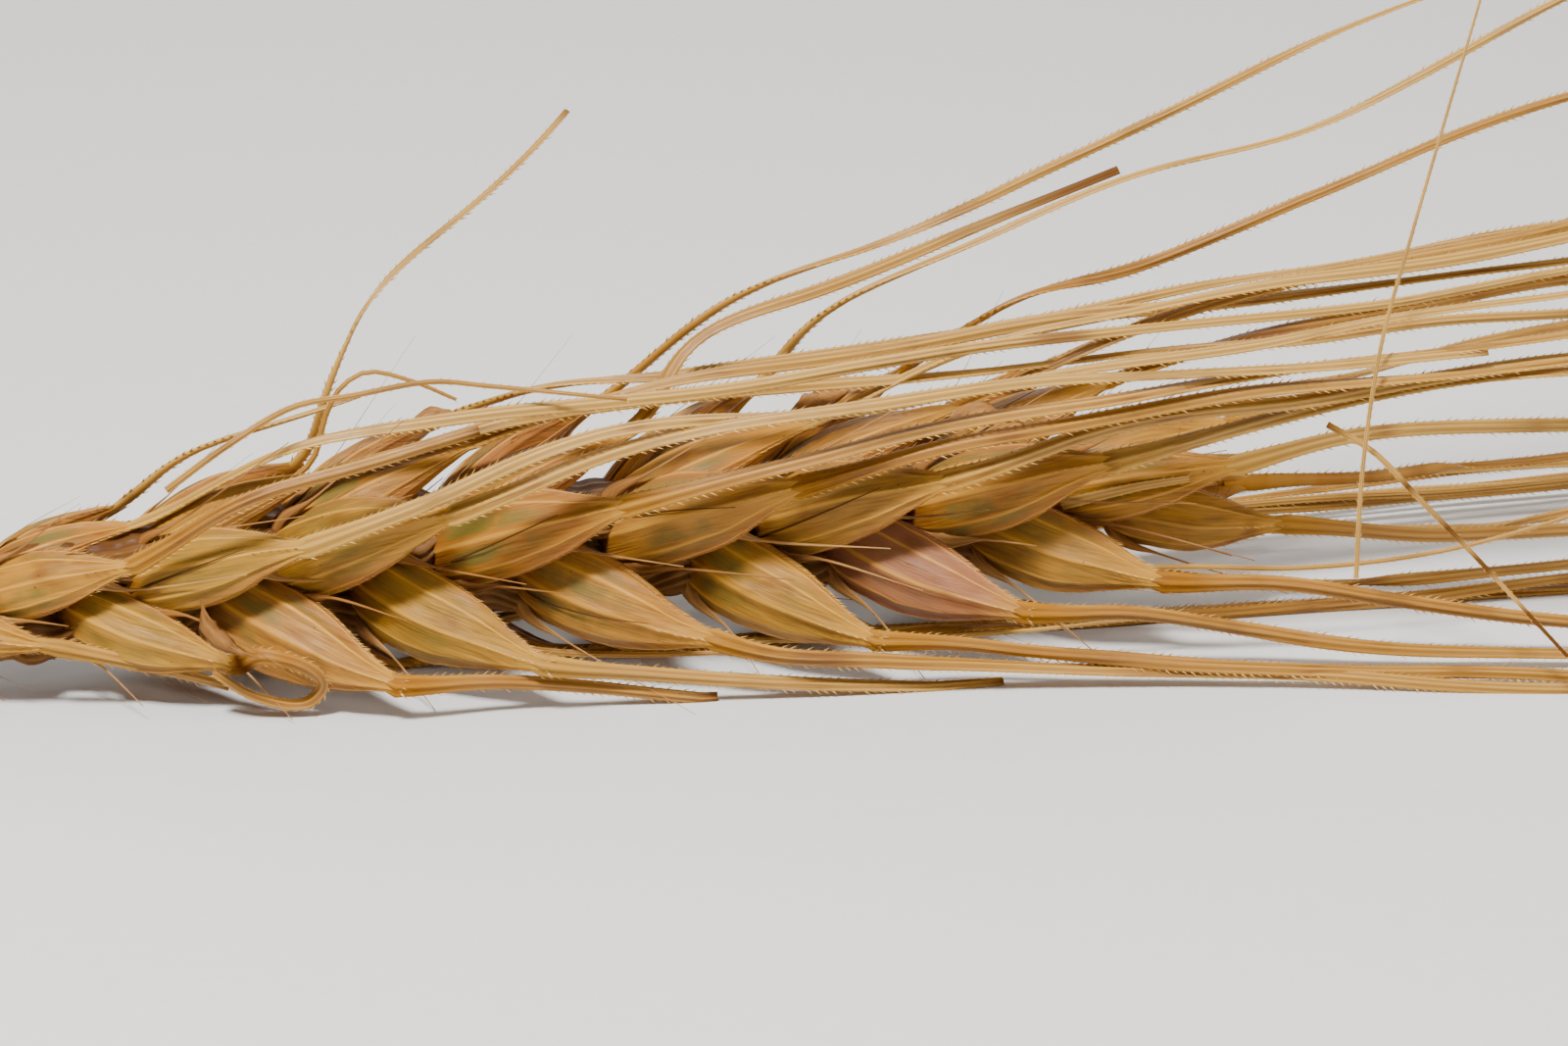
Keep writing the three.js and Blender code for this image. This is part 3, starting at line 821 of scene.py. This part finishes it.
def hullMaterial(fibres):
    look = hullLook
    material, tree, shader = newMaterial("hull_gold")
    share, side, _ = split(tree, "zone")
    paleness, pinkness, greenness = split(tree, "tint")
    fibre = attribute(tree, "fibre", "Vector")
    grain = useFibre(tree, fibres, fibre)
    blotches = grain["Blotches"]
    # 1 midway between nerves, 0 on them
    wave = math2(tree, "ABSOLUTE", math2(tree, "SINE", times(tree, side, math.pi * 180 / hullForm["nerveGap"])))
    panel = times(tree, remap(tree, share, 0.1, 0.24), remap(tree, share, 0.74, 0.5), blotches,
                  remap(tree, wave, 0.25, 0.85), remap(tree, side, 0.4, 0.34), remap(tree, greenness, -0.6, 0.7))
    margin = times(tree, remap(tree, side, 0.24, 0.42), remap(tree, share, 0.15, 0.45),
                   remap(tree, blotches, 0.0, 1.0, 0.2, 0.7))
    foot = times(tree, remap(tree, share, 0.34, 0.04), remap(tree, blotches, 0.0, 1.0, 0.25, 0.7))
    fold = distance(tree, side, 0.535)
    stain = noiseAt(tree, scaled(tree, fibre, 0.5, 0.3, 2.3), 1.0, 2)
    specks = wire(tree, "ShaderNodeTexVoronoi", {"Vector": fibre, "Scale": 1.9}, "Distance")
    speck = times(tree, remap(tree, specks, 0.13, 0.06), 0.8,
                  remap(tree, noiseAt(tree, fibre, 0.35, 1), 0.56, 0.66))
    base = layered(tree, blendColours(tree, grain["Streaks"], look["deep"], look["gold"]), look, [
        (times(tree, grain["Lines"], 0.45), "pale"),
        (times(tree, paleness, 0.3), "pale"),
        (remap(tree, greenness, 0.55, 1.0, 0.0, 0.4), "rust"),  # each hull leans to rust or to olive
        (remap(tree, greenness, 0.4, 0.0, 0.0, 0.35), "olive"),
        (foot, "rust"),
        (panel, "green"),  # between the nerves, where the husk is half see-through
        (margin, "pink"),
        (times(tree, pinkness, 0.72), "lilac"),  # one hull is pink all over
        *((remap(tree, distance(tree, side, at / 180), 0.02, 0.004, 0.0, 0.6), "nerve")
          for at, _, _ in hullForm["nerves"]),
        (remap(tree, share, 0.74, 0.98, 0.0, 0.55), "pale"),
        (remap(tree, share, 0.1, 0.0, 0.0, 0.7), "brown"),
        (remap(tree, fold, 0.03, 0.008, 0.0, 0.55), "brown"),
        (remap(tree, stain, 0.58, 0.74, 0.0, 0.55), "deep"),
        (speck, "brown"),
    ])
    setInputs(tree, shader, {
        "Base Color": base, "Roughness": remap(tree, grain["Streaks"], 0.0, 1.0, 0.6, 0.42),
        "Specular IOR Level": 0.22, "Subsurface Weight": 0.12, "Subsurface Scale": 0.0006,
        "Subsurface Radius": (1, 0.7, 0.35), "Normal": bumped(tree, grain["Height"], 0.00018, 0.7)})
    return material


awnLook = palette(
    gold=(156, 100, 22), straw=(178, 128, 46), pale=(206, 164, 82), brown=(98, 54, 16), dark=(76, 38, 12),
)


def awnMaterial(name, look, fibres, crowding, shine):
    material, tree, shader = newMaterial(name)
    along, tone, seed = (attribute(tree, key) for key in ("along", "tone", "seed"))
    groove, spot = attribute(tree, "groove"), attribute(tree, "spot")
    place = wire(tree, "ShaderNodeCombineXYZ", {0: groove, 1: along, 2: seed})
    grain = useFibre(tree, fibres, place, crowding)
    stain = noiseAt(tree, scaled(tree, place, 0.7, 0.2, 1.3), 1.0, 3)
    base = layered(tree, blendColours(tree, remap(tree, along, 2.0, 30.0), look["gold"], look["straw"]), look, [
        (remap(tree, tone, 0.35, 1.0, 0.0, 0.7), "pale"),
        (remap(tree, tone, 0.4, 0.0, 0.0, 0.45), "gold"),
        (times(tree, grain["Streaks"], 0.3), "pale"),
        # painted shade: the grooves of the top face are darkened with brown
        (times(tree, groove, 0.62), "brown"),
        (remap(tree, stain, 0.52, 0.72, 0.0, 0.7), "brown"),
        (spot, "dark"),
    ])
    # dull where it leaves the hull and where it is stained
    glint = times(tree, remap(tree, spot, 0.0, 1.0, shine, 0.03), remap(tree, along, 2.0, 7.0, 0.1, 1.0))
    setInputs(tree, shader, {
        "Base Color": base, "Roughness": remap(tree, grain["Lines"], 0.0, 1.0, 0.46, 0.32),
        "Specular IOR Level": glint, "Normal": bumped(tree, grain["Height"], 0.00006, 0.5)})
    return material


glumeLook = palette(
    gold=(150, 96, 42), straw=(178, 124, 60), pale=(204, 156, 92), brown=(98, 58, 28), dark=(56, 32, 16),
)


def barbMaterial():
    material, tree, shader = newMaterial("barb_straw")
    patch = noiseAt(tree, wire(tree, "ShaderNodeTexCoord", None, "Object"), 260.0, 2)
    base = blendColours(tree, patch, colour(178, 126, 54), colour(218, 178, 106))
    setInputs(tree, shader, {"Base Color": base, "Roughness": remap(tree, patch, 0.2, 0.8, 0.35, 0.55)})
    return material


strawLook = palette(
    pale=(206, 176, 108), gold=(176, 134, 66), green=(140, 130, 74), brown=(108, 70, 36),
)


def strawMaterial(fibres):
    look = strawLook
    material, tree, shader = newMaterial("straw_ribbed")
    grain = useFibre(tree, fibres, attribute(tree, "fibre", "Vector"), 1.6)
    base = layered(tree, blendColours(tree, grain["Streaks"], look["gold"], look["pale"]), look, [
        (times(tree, grain["Blotches"], 0.3), "green"),
        (times(tree, grain["Lines"], 0.25), "brown"),
        (times(tree, attribute(tree, "collar"), 0.6), "brown"),
    ])
    setInputs(tree, shader, {
        "Base Color": base, "Roughness": remap(tree, grain["Streaks"], 0.0, 1.0, 0.55, 0.4),
        "Normal": bumped(tree, grain["Height"], 0.0001, 0.6)})
    return material


# Rachis and straw: one ribbed stalk with a collar at each joint and a hollow cut end

strawForm = {
    "start": -17, "radius": 1.12, "drop": 0.8, "halfWidth": 1.08, "halfThickness": 0.43, "zigzag": 0.35,
    "collarSwell": 0.25, "ringsPerSpan": 14, "around": 28, "ribs": 14, "ribHeight": 0.022,
    "fibreRadius": 1.1, "fibreDraw": 3.3, "taper": 0.35, "rim": 0.93,
    "boreRadius": 0.62, "bore": [(3.0, 0.8), (1.5, 0.95), (0.04, 1)],  # depth, and share of the radius
}


def stalkRoute():
    form = strawForm
    upright = np.array([0, 0, 1.0])
    bends = [axisAt(x) + upright * (form["zigzag"] if i % 2 else -form["zigzag"])
             for i, x in enumerate(earLayout["joints"])]
    cut = axisAt(form["start"]) - upright * form["drop"]
    return [cut, axisAt((form["start"] + earLayout["joints"][0]) / 2)] + bends


def makeStalk(material):
    form, route = strawForm, stalkRoute()
    places = np.linspace(0, len(route) - 1, (len(route) - 1) * form["ringsPerSpan"] + 1)  # counted in spans
    shares = places / (len(route) - 1)
    line = np.array([routePoint(route, share) for share in shares])
    tangents, across, outward = framesAlong(line, np.array([0, 0, 1.0]))
    reach = np.concatenate([[0], np.cumsum(np.linalg.norm(np.diff(line, axis=0), axis=1))])
    into, beat = np.clip(places - 1, 0, 1), np.cos(math.pi * 2 * places)  # into the ear, and 1 at each joint
    swell = 1 + form["collarSwell"] * beat * into
    wide = mix(form["radius"], form["halfWidth"] * swell * (1 - form["taper"] * shares), into)
    thick = mix(form["radius"], form["halfThickness"] * swell, into)
    collar = into * np.maximum(0, beat) ** 3
    points, fibres, collars = [], [], []

    def addRing(i, wide, thick, rib, depth=0.0):
        for turn in np.linspace(0, 2 * math.pi, form["around"], endpoint=False):
            ridge = rib * math.cos(turn * form["ribs"])
            x, z = math.cos(turn) * (wide + ridge), math.sin(turn) * (thick + ridge)
            points.append(line[i] + across[i] * x + outward[i] * z + tangents[i] * depth)
            fibres.append((turn * form["fibreRadius"], reach[i] + depth, form["fibreDraw"]))
            collars.append(collar[i])

    # inside of the hollow end, its rim, then the outside up to the tip
    for depth, narrow in form["bore"]:
        addRing(0, form["boreRadius"] * narrow, form["boreRadius"] * narrow, 0, depth)
    addRing(0, wide[0] * form["rim"], thick[0] * form["rim"], form["ribHeight"])
    for i in range(len(line)):
        addRing(i, wide[i], thick[i], form["ribHeight"] * (1 - 0.5 * into[i]))
    faces = gridFaces(0, len(points) // form["around"] - 1, form["around"])
    stalk = meshObject("stalk", list(toMetres(points)), [], faces, {"fibre": fibres, "collar": collars}, material)
    edges, inEar = LineSet(), into > 0.6
    edges.addEdges(line[inEar], -across[inEar], wide[inEar], 1.0)
    return stalk, edges


# Making the pieces

fibres = fibreGroup()
hullGold = hullMaterial(fibres)
awnStraw = awnMaterial("awn_straw", awnLook, fibres, 1.0, 0.3)
glumeBrown = awnMaterial("glume_brown", glumeLook, fibres, 2.0, 0.15)
barbStraw = barbMaterial()
strawRibbed = strawMaterial(fibres)
print("stage: materials")

sweep, teeth = sweepTree(), barbTree()
awnSection = sectionObject("awnSection", [
    (1, 0), (0.78, 0.24), (0.44, 0.2), (0.22, 0.4), (0, 0.62), (-0.22, 0.4), (-0.44, 0.2), (-0.78, 0.24), (-1, 0),
    (-0.55, -0.32), (0, -0.46), (0.55, -0.32)])
coreOutline = []  # round, with one bulge for each strand
for turn in np.linspace(0, 2 * math.pi, coreForm["around"], endpoint=False):
    strand = 1 + coreForm["strandHeight"] * (abs(math.cos(turn * coreForm["strands"] / 2)) - 0.5)
    coreOutline.append((math.cos(turn) * strand, math.sin(turn) * strand * coreForm["flatness"]))
coreSection = sectionObject("coreSection", coreOutline)
glumeSection = sectionObject("glumeSection", [(1, 0), (0.5, 0.26), (0, 0.36), (-0.5, 0.26), (-1, 0), (0, -0.2)])


def swept(lines, name, section, material):
    return runTree(lines, name, sweep, {"Section": section}, material)


def toothed(lines, name, form):
    sizes = {"Spacing": form["every"] * mm, "Length": form["length"] * mm, "Half Width": form["halfWidth"] * mm}
    return runTree(lines, name, teeth, {**sizes, "Seed": form["draw"]}, barbStraw)


pieces = []
for side in ("lower", "upper"):
    cadNode = side + "_spikelets"
    awnLines, barbLines = layAwns(side)
    layStrays(side, awnLines, barbLines)
    layHullTeeth(side, barbLines, barbedPlaces)
    fringeLines = LineSet()
    layHullTeeth(side, fringeLines, fringedPlaces)
    made = [
        makeHulls(side, hullGold),
        swept(awnLines, side + "_awns", awnSection, awnStraw),
        toothed(barbLines, side + "_barbs", barbForm),
        toothed(fringeLines, side + "_fringe", fringeForm),
        swept(layGlumes(side), side + "_glumes", glumeSection, glumeBrown),
        swept(layCore(side), side + "_core", coreSection, glumeBrown),
    ]
    for piece in made:
        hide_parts(cadNode)
    pieces += made
    print("stage:", side, "side,", [len(piece.data.polygons) for piece in made])

stalk, stalkEdges = makeStalk(strawRibbed)
stalkHairs = toothed(stalkEdges, "stalk_hairs", hairForm)
for piece in (stalk, stalkHairs):
    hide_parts("rachis_and_stem")
    pieces.append(piece)
for helper in (awnSection, glumeSection, coreSection):
    bpy.data.objects.remove(helper)
for piece in pieces:
    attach(piece, "root")
print("stage: stalk,", len(stalk.data.polygons), "faces")


# Floor, light and camera

studio = {
    "floorSize": 3.0, "cameraAzimuth": -10, "cameraElevation": 20, "cameraDistance": 0.24,
    "viewWidth": 0.08, "sensorWidth": 36, "target": (39.7, 0, 6.4), "world": 0.25,
    "lamps": [((-0.12, -0.2, 0.36), 3.8, 0.07), ((0.34, -0.2, 0.26), 1.2, 0.25), ((0.05, 0.4, 0.3), 1.0, 0.25)],
}


def makeFloor():
    half = studio["floorSize"] / 2
    mesh = bpy.data.meshes.new("floor")
    mesh.from_pydata([(-half, -half, 0), (half, -half, 0), (half, half, 0), (-half, half, 0)], [], [(0, 1, 2, 3)])
    material, tree, shader = newMaterial("floor_paper")
    place = wire(tree, "ShaderNodeTexCoord", None, "Object")
    base = blendColours(tree, noiseAt(tree, place, 900.0, 3), colour(214, 212, 208), colour(220, 218, 214))
    setInputs(tree, shader, {"Base Color": base, "Roughness": 0.8})
    newPiece("floor", mesh, material)


def makeStudio():
    scene = bpy.context.scene
    target = Vector(toMetres(studio["target"]))
    azimuth, elevation = math.radians(studio["cameraAzimuth"]), math.radians(studio["cameraElevation"])
    back = Vector((math.sin(azimuth) * math.cos(elevation), -math.cos(azimuth) * math.cos(elevation),
                   math.sin(elevation)))
    camera = newPiece("camera", bpy.data.cameras.new("camera"))
    camera.location = target + back * studio["cameraDistance"]
    camera.rotation_euler = back.to_track_quat("Z", "Y").to_euler()
    camera.data.sensor_width = studio["sensorWidth"]
    camera.data.lens = studio["sensorWidth"] * studio["cameraDistance"] / studio["viewWidth"]
    camera.data.clip_start = 0.01
    scene.camera = camera
    for i, (place, power, size) in enumerate(studio["lamps"]):
        lamp = bpy.data.lights.new(f"lamp{i}", "AREA")
        lamp.energy = power
        lamp.size = size
        holder = newPiece(f"lamp{i}", lamp)
        holder.location = place
        holder.rotation_euler = (target - Vector(place)).to_track_quat("-Z", "Y").to_euler()
    world = bpy.data.worlds.new("world")
    world.use_nodes = True
    sky = world.node_tree.nodes["Background"]
    setInputs(world.node_tree, sky, {"Color": (1, 1, 1, 1), "Strength": studio["world"]})
    scene.world = world


makeFloor()
makeStudio()
print("stage: floor, light and camera")

bpy.context.view_layer.update()
